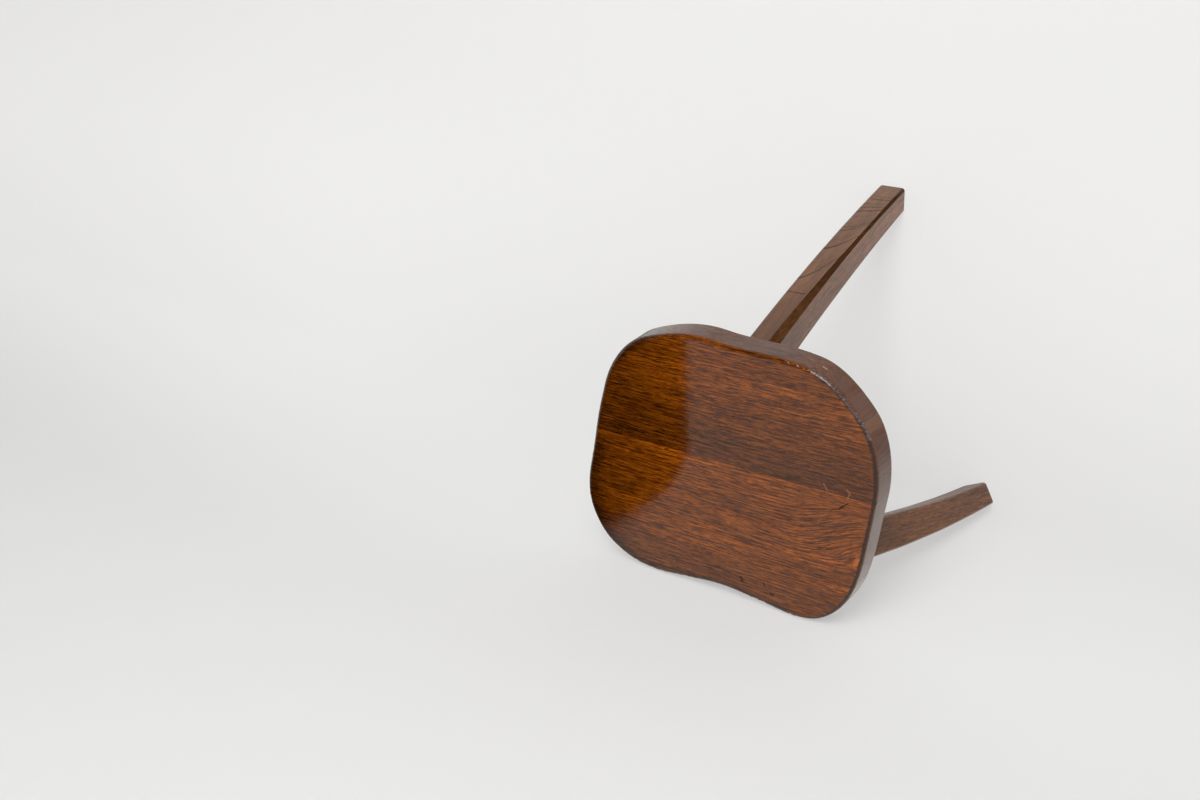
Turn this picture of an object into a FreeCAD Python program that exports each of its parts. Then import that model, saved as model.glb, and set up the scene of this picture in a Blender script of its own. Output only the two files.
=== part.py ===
"""A three-legged oak stool: a thick freeform seat glued up from boards, on three curved legs.

Each leg is one piece of plank, splayed outward, with a stub tenon that stands in a blind mortise in
the seat's underside and is locked there by a fox wedge. Dowels line up the glued boards.

Frame: millimetres, +Z up, feet on Z = 0, origin under the middle of the stool's bounding box.
X runs along the grain of the seat. The single leg stands at -Y, the pair at +Y.
"""
import FreeCAD, Part
import math
import os
import Sketcher

Vector = FreeCAD.Vector

# Driving dimensions, in millimetres unless the name says otherwise
SIZES = {
    # Seat
    "seat_width": 410,
    "seat_depth": 348,
    "seat_thickness": 40,
    "stool_height": 422,
    "seat_top_easing": 5,
    "seat_under_easing": 3,
    "board_width": 121,
    "middle_glue_line": -15,
    "front_strip_depth": 38,
    # Legs, measured in the plane in which each one splays
    "leg_width": 37,
    "leg_root_depth": 56,
    "leg_foot_depth": 34,
    "leg_spread": 99,
    "leg_curve_radius": 3000,
    "leg_edge_round": 4.5,
    "foot_easing": 1.5,
    # Where the legs meet the seat
    "front_leg_inset": 26,
    "front_leg_offset": 18.5,
    "back_leg_side_inset": 82.5,
    "back_leg_back_inset": 86,
    "back_leg_turn_degrees": 26,
    # Tenons, mortises and wedges
    "tenon_depth": 34,
    "tenon_thickness": 22,
    "tenon_length": 28,
    "tenon_inset": 5,
    "mortise_gap": 0.1,
    "mortise_end_gap": 1,
    "wedge_height": 20,
    "wedge_thick_end": 4,
    "wedge_thin_end": 1,
    "wedge_gap": 0.1,
    "wedge_end_gap": 1,
    # Dowels between the boards
    "dowel_diameter": 10,
    "dowel_length": 50,
    "dowel_spacing": 120,
    "dowel_gap": 0.05,
    "dowel_end_gap": 1,
    # Middle of the bounding box in seat coordinates, measured below
    "middle_across": 0,
    "middle_along": 0,
}

# Seat outline from the +X side round the front, as shares of half the seat's width and depth
SEAT_OUTLINE_SHARES = [
    (0.998, 0.489), (0.937, 0.023), (0.873, -0.322), (0.790, -0.609), (0.639, -0.833), (0.439, -0.943),
    (0.200, -1.000), (-0.073, -0.983), (-0.444, -0.971), (-0.644, -0.917), (-0.820, -0.759),
    (-0.951, -0.540), (-1.000, -0.230), (-0.963, 0.138), (-0.888, 0.586), (-0.795, 0.810),
    (-0.659, 0.954), (-0.512, 0.997), (-0.244, 0.966), (0.024, 0.943), (0.293, 0.971),
    (0.512, 0.991), (0.732, 0.937), (0.912, 0.770),
]

doc = FreeCAD.newDocument("Stool")
sheet = doc.addObject("Spreadsheet::Sheet", "Sizes")
for row, (name, value) in enumerate(SIZES.items(), start=1):
    sheet.set(f"A{row}", name)
    sheet.set(f"B{row}", str(value))
    sheet.setAlias(f"B{row}", name)
doc.recompute()


def size(name):
    """A driving dimension as the sheet holds it."""
    return float(sheet.get(name))


UNDERSIDE = "(Sizes.stool_height - Sizes.seat_thickness)"
underside = size("stool_height") - size("seat_thickness")


def place(piece, across="0", along="0", up="0", turn="0"):
    """Bind a piece's place and its turn about the upright axis to the sheet."""
    piece.Placement = FreeCAD.Placement(Vector(0, 0, 0), FreeCAD.Rotation(Vector(0, 0, 1), 1))
    piece.setExpression("Placement.Base.x", across)
    piece.setExpression("Placement.Base.y", along)
    piece.setExpression("Placement.Base.z", up)
    piece.setExpression("Placement.Rotation.Angle", f"({turn}) * 1 deg")


def finish(piece, label, across="0", along="0", turn="0"):
    """Name a finished sub-part and place it from the middle of the bounding box."""
    piece.Label = label
    place(piece, f"{across} - Sizes.middle_across", f"{along} - Sizes.middle_along", "0", turn)
    return piece


# Sketch helpers
def sketch_on(body, role, name):
    """A sketch on one of the body's own origin planes."""
    sketch = body.newObject("Sketcher::SketchObject", name)
    plane = [feature for feature in body.Origin.OriginFeatures if feature.Role == role][0]
    sketch.AttachmentSupport = (plane, [""])
    sketch.MapMode = "FlatFace"
    return sketch


def hold(sketch, geometry, point, across, up):
    """Tie a point of the sketch to the sketch's origin by two expressions."""
    for kind, expression in (("DistanceX", across), ("DistanceY", up)):
        if expression == "0":
            axis = -2 if kind == "DistanceX" else -1
            sketch.addConstraint(Sketcher.Constraint("PointOnObject", geometry, point, axis))
            continue
        where = sketch.getPoint(geometry, point)
        distance = where.x if kind == "DistanceX" else where.y
        index = sketch.addConstraint(Sketcher.Constraint(kind, -1, 1, geometry, point, distance))
        sketch.setExpression(f"Constraints[{index}]", expression)


def add_outline(sketch, corners):
    """A closed outline of straight lines: corners are (x, y, x expression, y expression)."""
    for number, corner in enumerate(corners):
        following = corners[(number + 1) % len(corners)]
        line = Part.LineSegment(Vector(corner[0], corner[1], 0), Vector(following[0], following[1], 0))
        sketch.addGeometry(line)
    for number in range(len(corners)):
        following = (number + 1) % len(corners)
        sketch.addConstraint(Sketcher.Constraint("Coincident", number, 2, following, 1))
    for number, corner in enumerate(corners):
        hold(sketch, number, 1, corner[2], corner[3])


def bowed_edge(foot, root, radius):
    """The arc from foot to root that bulges away from the stool's axis."""
    rise = root - foot
    half = rise.Length / 2
    outward = Vector(rise.y, -rise.x, 0).normalize()
    centre = (foot + root) / 2 - outward * math.sqrt(radius ** 2 - half ** 2)
    angles = [math.atan2(end.y - centre.y, end.x - centre.x) for end in (foot, root)]
    return Part.ArcOfCircle(Part.Circle(centre, Vector(0, 0, 1), radius), *angles)


def pad(body, sketch, name, length):
    """Thicken a sketch evenly to both sides."""
    feature = body.newObject("PartDesign::Pad", name)
    feature.Profile = sketch
    feature.SideType = "Symmetric"
    feature.setExpression("Length", length)
    return feature


def edges_where(feature, test):
    """Names of a feature's edges that pass a test on the edge's bounding box."""
    doc.recompute()
    return [f"Edge{n}" for n, edge in enumerate(feature.Shape.Edges, start=1) if test(edge.BoundBox)]


# Legs
def add_leg(label, across, along, turn):
    """A curved, tapered plank with a kerfed stub tenon, splayed along its own +X."""
    body = doc.addObject("PartDesign::Body", label)

    # Side of the plank: the foot's two corners, then the root's two corners
    half_root = size("leg_root_depth") / 2
    foot_out = half_root + size("leg_spread")
    foot_in = foot_out - size("leg_foot_depth")
    radius = size("leg_curve_radius")
    side = sketch_on(body, "XZ_Plane", f"{label}_side")
    outer_foot = Vector(foot_out, 0, 0)
    inner_foot = Vector(foot_in, 0, 0)
    outer_root = Vector(half_root, underside, 0)
    inner_root = Vector(-half_root, underside, 0)
    outer = side.addGeometry(bowed_edge(outer_foot, outer_root, radius))
    inner = side.addGeometry(bowed_edge(inner_foot, inner_root, radius))
    foot = side.addGeometry(Part.LineSegment(inner_foot, outer_foot))
    root = side.addGeometry(Part.LineSegment(outer_root, inner_root))
    for first, first_end, second, second_end in (
        (foot, 2, outer, 1), (outer, 2, root, 1), (root, 2, inner, 2), (inner, 1, foot, 1),
    ):
        side.addConstraint(Sketcher.Constraint("Coincident", first, first_end, second, second_end))
    foot_out_expression = "Sizes.leg_root_depth / 2 + Sizes.leg_spread"
    hold(side, outer, 1, foot_out_expression, "0")
    hold(side, inner, 1, f"{foot_out_expression} - Sizes.leg_foot_depth", "0")
    hold(side, outer, 2, "Sizes.leg_root_depth / 2", UNDERSIDE)
    hold(side, inner, 2, "-Sizes.leg_root_depth / 2", UNDERSIDE)
    for arc in (outer, inner):
        index = side.addConstraint(Sketcher.Constraint("Radius", arc, radius))
        side.setExpression(f"Constraints[{index}]", "Sizes.leg_curve_radius")
    plank = pad(body, side, f"{label}_plank", "Sizes.leg_width")

    # The long corners are rounded over and the foot's rim is eased
    rounded = body.newObject("PartDesign::Fillet", f"{label}_rounded")
    rounded.Base = (plank, edges_where(plank, lambda box: box.ZLength > underside / 2))
    rounded.setExpression("Radius", "Sizes.leg_edge_round")
    eased = body.newObject("PartDesign::Chamfer", f"{label}_eased")
    eased.Base = (rounded, edges_where(rounded, lambda box: box.ZMax < size("foot_easing")))
    eased.setExpression("Size", "Sizes.foot_easing")

    # Stub tenon, a little to the inner side of the root
    tenon_out = size("tenon_depth") / 2 - size("tenon_inset")
    tenon_in = -size("tenon_depth") / 2 - size("tenon_inset")
    tenon_top = underside + size("tenon_length")
    out_expression = "Sizes.tenon_depth / 2 - Sizes.tenon_inset"
    in_expression = "-Sizes.tenon_depth / 2 - Sizes.tenon_inset"
    top_expression = f"{UNDERSIDE} + Sizes.tenon_length"
    tenon = sketch_on(body, "XZ_Plane", f"{label}_tenon_side")
    add_outline(tenon, [
        (tenon_in, underside, in_expression, UNDERSIDE),
        (tenon_out, underside, out_expression, UNDERSIDE),
        (tenon_out, tenon_top, out_expression, top_expression),
        (tenon_in, tenon_top, in_expression, top_expression),
    ])
    pad(body, tenon, f"{label}_tenon", "Sizes.tenon_thickness")

    # Kerf that takes the wedge
    kerf = sketch_on(body, "YZ_Plane", f"{label}_kerf_end")
    add_outline(kerf, wedge_section("wedge_gap", "wedge_end_gap"))
    cut = body.newObject("PartDesign::Pocket", f"{label}_kerf")
    cut.Profile = kerf
    cut.Type = "ThroughAll"
    cut.SideType = "Symmetric"
    return finish(body, label, across, along, turn)


def wedge_section(side_gap, end_gap):
    """Corners of the wedge's tapered section, grown by named gaps, thin end down."""
    sides = size(side_gap) if side_gap else 0
    end = size(end_gap) if end_gap else 0
    side_text = f" + Sizes.{side_gap}" if side_gap else ""
    end_text = f" - Sizes.{end_gap}" if end_gap else ""
    top = underside + size("tenon_length")
    bottom = top - size("wedge_height") - end
    thick = size("wedge_thick_end") / 2 + sides
    thin = size("wedge_thin_end") / 2 + sides
    top_text = f"{UNDERSIDE} + Sizes.tenon_length"
    bottom_text = f"{top_text} - Sizes.wedge_height{end_text}"
    thick_text = f"(Sizes.wedge_thick_end / 2{side_text})"
    thin_text = f"(Sizes.wedge_thin_end / 2{side_text})"
    return [
        (-thin, bottom, f"-{thin_text}", bottom_text),
        (thin, bottom, thin_text, bottom_text),
        (thick, top, thick_text, top_text),
        (-thick, top, f"-{thick_text}", top_text),
    ]


def add_wedge(label, across, along, turn):
    """A fox wedge, as long as the tenon is deep, standing in the tenon's kerf."""
    body = doc.addObject("PartDesign::Body", label)
    end = sketch_on(body, "YZ_Plane", f"{label}_end")
    end.setExpression("AttachmentOffset.Base.z", "-Sizes.tenon_inset")
    add_outline(end, wedge_section(None, None))
    pad(body, end, f"{label}_length", "Sizes.tenon_depth")
    return finish(body, label, across, along, turn)


# Where each leg's root stands on the seat, and which way it splays
back_across = "(Sizes.seat_width / 2 - Sizes.back_leg_side_inset)"
back_along = "(Sizes.seat_depth / 2 - Sizes.back_leg_back_inset)"
front_along = "(-Sizes.seat_depth / 2 + Sizes.front_leg_inset + Sizes.leg_root_depth / 2)"
ROOTS = {
    "front": ("-Sizes.front_leg_offset", front_along, "-90"),
    "back_left": (f"-{back_across}", back_along, "90 + Sizes.back_leg_turn_degrees"),
    "back_right": (back_across, back_along, "90 - Sizes.back_leg_turn_degrees"),
}
subparts = []
for position, root in ROOTS.items():
    subparts.append(add_leg(f"leg_{position}", *root))
    subparts.append(add_wedge(f"wedge_{position}", *root))


# Seat blank: the outline, thickened, with its upper and lower edges rounded over
def arc_from(start, heading, end):
    """The arc that leaves start along heading and passes through end."""
    chord = end - start
    aside = heading - chord * (heading.dot(chord) / chord.dot(chord))
    half_turn = heading.getAngle(chord) / 2
    bulge = aside.normalize() * (chord.Length / 2 * math.tan(half_turn))
    return Part.Arc(start, (start + end) / 2 + bulge, end)


def arcs_through(points):
    """A smooth closed chain through the points, two arcs that meet in line between each pair."""
    count = len(points)
    headings = [(points[(n + 1) % count] - points[n - 1]).normalize() for n in range(count)]
    arcs = []
    for n, start in enumerate(points):
        end = points[(n + 1) % count]
        leaving, arriving = headings[n], headings[(n + 1) % count]
        chord = end - start
        both = chord.dot(leaving + arriving)
        spread = 2 * (1 - leaving.dot(arriving))
        reach = (math.sqrt(both ** 2 + spread * chord.dot(chord)) - both) / spread
        joint = (start + end + (leaving - arriving) * reach) / 2
        arcs.append(arc_from(start, leaving, joint))
        arcs.append(arc_from(end, arriving * -1, joint))
    return arcs


outline = doc.addObject("Part::Feature", "seat_outline")
half_width = size("seat_width") / 2
half_depth = size("seat_depth") / 2
points = [Vector(x * half_width, y * half_depth, 0) for x, y in SEAT_OUTLINE_SHARES]
outline.Shape = Part.Wire([arc.toShape() for arc in arcs_through(points)])
outline.setExpression("Placement.Base.z", UNDERSIDE)
blank = doc.addObject("Part::Extrusion", "seat_blank")
blank.Base = outline
blank.DirMode = "Custom"
blank.Dir = Vector(0, 0, 1)
blank.Solid = True
blank.setExpression("LengthFwd", "Sizes.seat_thickness")
doc.recompute()

eased_seat = doc.addObject("Part::Fillet", "seat_eased")
eased_seat.Base = blank
easings = []
for number, edge in enumerate(blank.Shape.Edges, start=1):
    if edge.BoundBox.ZLength > size("seat_thickness") / 2:
        continue
    upper = edge.BoundBox.ZMax > underside + size("seat_thickness") / 2
    radius = size("seat_top_easing" if upper else "seat_under_easing")
    easings.append((number, radius, radius))
eased_seat.Edges = easings


# Cutters: a mortise for each tenon and a bore for each dowel
def add_mortise(position, across, along, turn):
    """A square-cornered hollow round a leg's tenon, deeper than the tenon by its end gap."""
    depth = "(Sizes.tenon_depth + 2 * Sizes.mortise_gap)"
    hollow = doc.addObject("Part::Box", f"hollow_{position}")
    hollow.setExpression("Length", depth)
    hollow.setExpression("Width", "Sizes.tenon_thickness + 2 * Sizes.mortise_gap")
    hollow.setExpression("Height", "Sizes.tenon_length + Sizes.mortise_end_gap")
    hollow.setExpression("Placement.Base.x", f"-{depth} / 2 - Sizes.tenon_inset")
    hollow.setExpression("Placement.Base.y", "-Width / 2")
    mortise = doc.addObject("Part::Compound", f"mortise_{position}")
    mortise.Links = [hollow]
    place(mortise, across, along, UNDERSIDE, turn)
    return mortise


def add_pin(name, radius, length, across, along):
    """A round bar across a glue line, at mid thickness of the seat, centred on the line."""
    pin = doc.addObject("Part::Cylinder", name)
    pin.setExpression("Radius", radius)
    pin.setExpression("Height", length)
    pin.Placement = FreeCAD.Placement(Vector(0, 0, 0), FreeCAD.Rotation(Vector(1, 0, 0), -90))
    pin.setExpression("Placement.Base.x", across)
    pin.setExpression("Placement.Base.y", f"{along} - ({length}) / 2")
    pin.setExpression("Placement.Base.z", f"{UNDERSIDE} + Sizes.seat_thickness / 2")
    return pin


# The front glue line keeps its place from the seat's front edge, the back one from the middle line
glue_lines = [
    "(-Sizes.seat_depth / 2 + Sizes.front_strip_depth)",
    "Sizes.middle_glue_line",
    "(Sizes.middle_glue_line + Sizes.board_width)",
]
DOWEL_PLACE_SHARES = [(-0.5, 0.5), (-1, 0, 1), (-0.5, 0.5)]
dowels = []
bores = []
for line_number, (line, shares) in enumerate(zip(glue_lines, DOWEL_PLACE_SHARES)):
    for dowel_number, share in enumerate(shares):
        name = f"{line_number}_{dowel_number}"
        across = f"{share} * Sizes.dowel_spacing"
        radius = "Sizes.dowel_diameter / 2"
        dowels.append(add_pin(f"dowel_{name}", radius, "Sizes.dowel_length", across, line))
        bore_radius = f"{radius} + Sizes.dowel_gap"
        bore_length = "Sizes.dowel_length + 2 * Sizes.dowel_end_gap"
        bores.append(add_pin(f"bore_{name}", bore_radius, bore_length, across, line))
mortises = [add_mortise(position, *root) for position, root in ROOTS.items()]
cutters = doc.addObject("Part::MultiFuse", "seat_cutters")
cutters.Shapes = mortises + bores

dowel_group = doc.addObject("Part::Compound", "dowel_group")
dowel_group.Links = dowels
subparts.append(finish(dowel_group, "seat_dowels"))


# Seat boards: bands of the eased blank between the glue lines, less the cutters
def add_board(label, start, end):
    """The part of the seat from one line across it to the next."""
    band = doc.addObject("Part::Box", f"band_{label}")
    band.setExpression("Length", "Sizes.seat_width * 2")
    band.setExpression("Width", f"{end} - {start}")
    band.setExpression("Height", "Sizes.stool_height * 2")
    band.setExpression("Placement.Base.x", "-Length / 2")
    band.setExpression("Placement.Base.y", start)
    slab = doc.addObject("Part::Common", f"slab_{label}")
    slab.Base = eased_seat
    slab.Tool = band
    board = doc.addObject("Part::Cut", f"board_{label}")
    board.Base = slab
    board.Tool = cutters
    return finish(board, label)


lines = ["(-Sizes.seat_depth)", *glue_lines, "Sizes.seat_depth"]
boards = ["seat_strip_front", "seat_board_front", "seat_board_back", "seat_strip_back"]
for label, start, end in zip(boards, lines, lines[1:]):
    subparts.append(add_board(label, start, end))
doc.recompute()


# The origin goes under the middle of the whole stool
def middle(axis):
    """Middle of all sub-parts along an axis, 0 across and 1 along."""
    boxes = [piece.Shape.optimalBoundingBox(True, False) for piece in subparts]
    lows = [(box.XMin, box.YMin)[axis] for box in boxes]
    highs = [(box.XMax, box.YMax)[axis] for box in boxes]
    return (min(lows) + max(highs)) / 2


middles = {"middle_across": middle(0), "middle_along": middle(1)}
for name, value in middles.items():
    sheet.set(name, f"{value:.3f}")
doc.recompute()

for item in doc.Objects:
    if "Invalid" in item.State or "Error" in item.State:
        raise RuntimeError(f"{item.Label} did not recompute")
for piece in subparts:
    if piece.Shape.isNull() or not piece.Shape.isValid() or not piece.Shape.Solids:
        raise RuntimeError(f"{piece.Label} has no valid solid")

os.makedirs("parts", exist_ok=True)
for piece in subparts:
    piece.Shape.exportStep(f"parts/{piece.Label}.step")
    box = piece.Shape.optimalBoundingBox(True, False)
    corners = [round(value, 1) for value in (box.XMin, box.XMax, box.YMin, box.YMax, box.ZMin, box.ZMax)]
    print(piece.Label, len(piece.Shape.Solids), "solids,", round(piece.Shape.Volume), "mm3,", corners)
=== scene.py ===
# %% [markdown]
# A three-legged oak stool, stained dark and lacquered until it shines. The construction comes ready made:
# four glued boards for the seat, three curved legs, and the wedges and dowels that hide inside. This lesson
# loads it, gives each plank its own oak, works the edges as a hand tool would, and lights the whole.

# %% Load the construction
import math

import bpy
from mathutils import Matrix, Vector
from mathutils.noise import noise as noise_at


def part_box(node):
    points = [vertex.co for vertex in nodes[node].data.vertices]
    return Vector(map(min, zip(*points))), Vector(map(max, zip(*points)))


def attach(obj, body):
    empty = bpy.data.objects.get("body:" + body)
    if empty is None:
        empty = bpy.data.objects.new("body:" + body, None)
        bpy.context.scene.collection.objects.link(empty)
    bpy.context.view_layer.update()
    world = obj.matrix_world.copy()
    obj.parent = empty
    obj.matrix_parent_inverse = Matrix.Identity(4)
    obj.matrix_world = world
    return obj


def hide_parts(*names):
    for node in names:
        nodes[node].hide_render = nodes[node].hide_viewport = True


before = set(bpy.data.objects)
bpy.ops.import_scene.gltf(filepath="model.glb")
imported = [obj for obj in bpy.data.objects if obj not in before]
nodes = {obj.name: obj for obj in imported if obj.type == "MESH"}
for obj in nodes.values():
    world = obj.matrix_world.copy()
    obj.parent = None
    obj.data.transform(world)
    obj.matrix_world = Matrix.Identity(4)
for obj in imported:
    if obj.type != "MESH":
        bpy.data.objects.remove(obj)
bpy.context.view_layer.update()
print("nodes:", sorted(nodes))

SEAT_BOARDS = ["seat_strip_front", "seat_board_front", "seat_board_back", "seat_strip_back"]
LEGS = ["leg_front", "leg_back_left", "leg_back_right"]
SEAT_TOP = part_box("seat_board_front")[1].z
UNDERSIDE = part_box("seat_board_front")[0].z
SEAT_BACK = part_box("seat_strip_back")[1].y

# %% [markdown]
# The photograph was taken from above the seat, with the stool laid over on its side. Here the stool stands
# up, so the camera is rolled instead: it hangs over the seat and looks down past it to the feet. Its three
# axes are written as they were found by matching the outline of the seat and the legs.

# %% Camera
CAMERA_PLACE = Vector((-0.7937, -0.8242, 1.7358))
CAMERA_RIGHT = Vector((-0.8160, 0.0456, -0.5763)).normalized()
CAMERA_UP = Vector((0.2170, -0.8998, -0.3785)).normalized()
CAMERA_BACK = CAMERA_RIGHT.cross(CAMERA_UP)
FOCAL_PIXELS = 1431.1
PHOTO_WIDTH = 1200
SENSOR_WIDTH = 36.0


def add_object(name, data):
    """Put a new object with this data into the scene."""
    piece = bpy.data.objects.new(name, data)
    bpy.context.scene.collection.objects.link(piece)
    return piece


camera_data = bpy.data.cameras.new("camera")
camera_data.sensor_width = SENSOR_WIDTH
camera_data.lens = FOCAL_PIXELS / PHOTO_WIDTH * SENSOR_WIDTH
camera = add_object("camera", camera_data)
turn = Matrix((CAMERA_RIGHT, CAMERA_UP, CAMERA_BACK)).transposed().to_4x4()
camera.matrix_world = Matrix.Translation(CAMERA_PLACE) @ turn
bpy.context.scene.camera = camera
print("lens:", round(camera_data.lens, 2), "mm")

# %% [markdown]
# The construction's edges are machine-perfect, and the real ones were worked by hand. A construction piece
# is never changed itself, so what needs work is copied first, and the copy's loose triangles are merged.

# %% Copies and selections
TOUCHING = 0.00001


def select_only(piece):
    """Make one object the selected and active one."""
    bpy.ops.object.select_all(action="DESELECT")
    piece.select_set(True)
    bpy.context.view_layer.objects.active = piece


def merged_copy(name):
    """A copy of a construction piece with its points merged."""
    piece = add_object("worked_" + name, nodes[name].data.copy())
    select_only(piece)
    bpy.ops.mesh.customdata_custom_splitnormals_clear()
    bpy.ops.object.mode_set(mode="EDIT")
    bpy.ops.mesh.select_all(action="SELECT")
    bpy.ops.mesh.remove_doubles(threshold=TOUCHING)
    bpy.ops.mesh.select_all(action="DESELECT")
    bpy.ops.object.mode_set(mode="OBJECT")
    return piece


def pick_edges(piece, test):
    """Enter edit mode with just the edges whose two ends pass a test."""
    select_only(piece)
    bpy.ops.object.mode_set(mode="EDIT")
    bpy.ops.mesh.select_mode(type="EDGE")
    bpy.ops.mesh.select_all(action="DESELECT")
    bpy.ops.object.mode_set(mode="OBJECT")
    points = piece.data.vertices
    for edge in piece.data.edges:
        edge.select = test(*(points[index].co for index in edge.vertices))
    bpy.ops.object.mode_set(mode="EDIT")


def step(value, low, high):
    """Smooth step of a plain number between two limits."""
    share = min(max((value - low) / (high - low), 0.0), 1.0)
    return share * share * (3 - 2 * share)


def smooth_weighted(piece, degrees):
    """Smooth shading in which large flat faces keep their own direction."""
    select_only(piece)
    bpy.ops.object.shade_smooth_by_angle(angle=math.radians(degrees))
    weighted = piece.modifiers.new("weighted", "WEIGHTED_NORMAL")
    weighted.keep_sharp = True
    weighted.weight = 100
    bpy.ops.object.modifier_apply(modifier=weighted.name)


# %% [markdown]
# Each leg is a plank sawn to a gentle curve, deeper at the top than at the foot. To copy that curve, the
# points of the construction's leg are read where the rounding of its long corners begins. They give rows of
# height and reach, and a smooth curve is laid through the rows.

# %% The curve of a leg, as it was drawn
LEG_TURNS = {"leg_front": -90, "leg_back_left": 116, "leg_back_right": 64}
CORNER_RADIUS = 0.0045
FOOT_EASE = 0.0015
SEAM_SLACK = 0.0002
SAME_ROW = 0.02
HEIGHT_SLACK = 0.0001


def leg_frame(name):
    """The leg's outward and sideways directions."""
    turn = math.radians(LEG_TURNS[name])
    return Vector((math.cos(turn), math.sin(turn), 0)), Vector((-math.sin(turn), math.cos(turn), 0))


def read_curve(name):
    """Sideways limits, and rows of (height, reach) for the outer and the inner face."""
    out, side = leg_frame(name)
    places = [(p.co.dot(out), p.co.dot(side), p.co.z) for p in nodes[name].data.vertices]
    places = [place for place in places if FOOT_EASE - HEIGHT_SLACK < place[2] < UNDERSIDE + HEIGHT_SLACK]
    low, high = min(p[1] for p in places), max(p[1] for p in places)
    seam = [p for p in places if abs(p[1] - low - CORNER_RADIUS) < SEAM_SLACK]
    outer, inner = {}, {}
    for reach, sideways, height in seam:
        near = [p[0] for p in seam if abs(p[2] - height) < SAME_ROW]
        rows = outer if reach > (min(near) + max(near)) / 2 else inner
        rows[round(height, 3)] = reach
    return low, high, sorted(outer.items()), sorted(inner.items())


def along(rows, height):
    """Smooth curve through rows of (height, reach)."""
    last = len(rows) - 2
    i = min(max(sum(row[0] <= height for row in rows) - 1, 0), last)
    (x0, y0), (x1, y1) = rows[i], rows[i + 1]
    slope = (y1 - y0) / (x1 - x0)
    before = (y1 - rows[i - 1][1]) / (x1 - rows[i - 1][0]) if i > 0 else slope
    after = (rows[i + 2][1] - y0) / (rows[i + 2][0] - x0) if i < last else slope
    t = (height - x0) / (x1 - x0)
    if t < 0 or t > 1:
        return y0 + slope * (height - x0)
    width = x1 - x0
    return ((2 * t ** 3 - 3 * t ** 2 + 1) * y0 + (t ** 3 - 2 * t ** 2 + t) * width * before
            + (3 * t ** 2 - 2 * t ** 3) * y1 + (t ** 3 - t ** 2) * width * after)


for name in LEGS:
    low, high, outer, inner = read_curve(name)
    print(name, "rows read:", len(outer), len(inner), "thickness:", round(high - low, 4))

# %% [markdown]
# The leg itself starts as a block that is cut into short lengths. Bevels round its long corners and ease its
# foot. Then every cross-section slides out to the curve, so the corners stay as round as they were.

# %% Legs, sawn to the curve
BLOCK = 0.03
LEG_CUTS = 31
CORNER_STEPS = 6
FOOT_STEPS = 3


def saw_leg(name):
    """A leg from the floor to the seat, made from a block."""
    low, high, outer, inner = read_curve(name)
    out, side = leg_frame(name)
    bpy.ops.object.select_all(action="DESELECT")
    bpy.ops.mesh.primitive_cube_add(size=1, location=(0, 0, UNDERSIDE / 2), scale=(BLOCK, high - low, UNDERSIDE))
    leg = bpy.context.object
    leg.name = "worked_" + name
    bpy.ops.object.transform_apply(location=True, rotation=True, scale=True)
    pick_edges(leg, lambda a, b: abs(a.z - b.z) > 0.1)
    bpy.ops.mesh.subdivide(number_cuts=LEG_CUTS)
    bpy.ops.object.mode_set(mode="OBJECT")
    pick_edges(leg, lambda a, b: abs(a.z - b.z) > 0.001)
    bpy.ops.mesh.bevel(offset=CORNER_RADIUS, segments=CORNER_STEPS, affect="EDGES")
    bpy.ops.object.mode_set(mode="OBJECT")
    pick_edges(leg, lambda a, b: max(a.z, b.z) < TOUCHING)
    bpy.ops.mesh.bevel(offset=FOOT_EASE, segments=FOOT_STEPS, affect="EDGES")
    bpy.ops.object.mode_set(mode="OBJECT")
    for point in leg.data.vertices:
        depth, sideways, height = point.co
        face = along(outer, height) - BLOCK / 2 if depth > 0 else along(inner, height) + BLOCK / 2
        place = out * (face + depth) + side * (sideways + (low + high) / 2)
        point.co = (place.x, place.y, height)
    return leg


worked = {name: saw_leg(name) for name in LEGS}
print("legs:", {name: len(leg.data.polygons) for name, leg in worked.items()}, "faces")

# %% [markdown]
# One long corner of the single leg was taken off with a drawknife: the flat is wide below the seat and only a
# thin line at the foot. A bevel of one width couldn't do that. Instead the points of the rounded corner slide
# along the two faces that meet there, further apart near the seat, and lie straight between them. The faces
# of the flat are marked, because they get a colour of their own.

# %% The drawknife's flat on the single leg
FLAT_WIDEST = 0.0095
FLAT_NARROWEST = 0.0034
FLAT_WIDENS = 0.10
FLAT_ENDS = (0.003, 0.02)
ON_CORNER = CORNER_RADIUS + 0.00005


def cut_flat(leg, name):
    """Turn the rounded corner between the outer and the low side face into a flat that widens upward."""
    low, high, outer, inner = read_curve(name)
    out, side = leg_frame(name)
    moved = set()
    for point in leg.data.vertices:
        height = point.co.z
        across = point.co.dot(side) - low
        deep = along(outer, height) - point.co.dot(out)
        if across > ON_CORNER or deep > ON_CORNER:
            continue
        share = math.atan2(1 - deep / CORNER_RADIUS, 1 - across / CORNER_RADIUS) / (math.pi / 2)
        share = min(max(share, 0.0), 1.0)
        reach = FLAT_NARROWEST + (FLAT_WIDEST - FLAT_NARROWEST) * step(height, FLAT_WIDENS, UNDERSIDE)
        cut = step(height, *FLAT_ENDS)
        point.co += side * (reach * share - across) * cut - out * (reach * (1 - share) - deep) * cut
        moved.add(point.index)
    flat = leg.data.attributes.new("flat", "FLOAT", "FACE")
    for face in leg.data.polygons:
        flat.data[face.index].value = float(all(index in moved for index in face.vertices))
    return len(moved)


print("points moved for the flat:", cut_flat(worked["leg_front"], "leg_front"))

# %% [markdown]
# The tenon can't be seen, but it keeps its kerf for the wedge. It is cut off a copy of the construction's
# leg with a bisect just above the shoulder, and joined to the leg.

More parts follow.
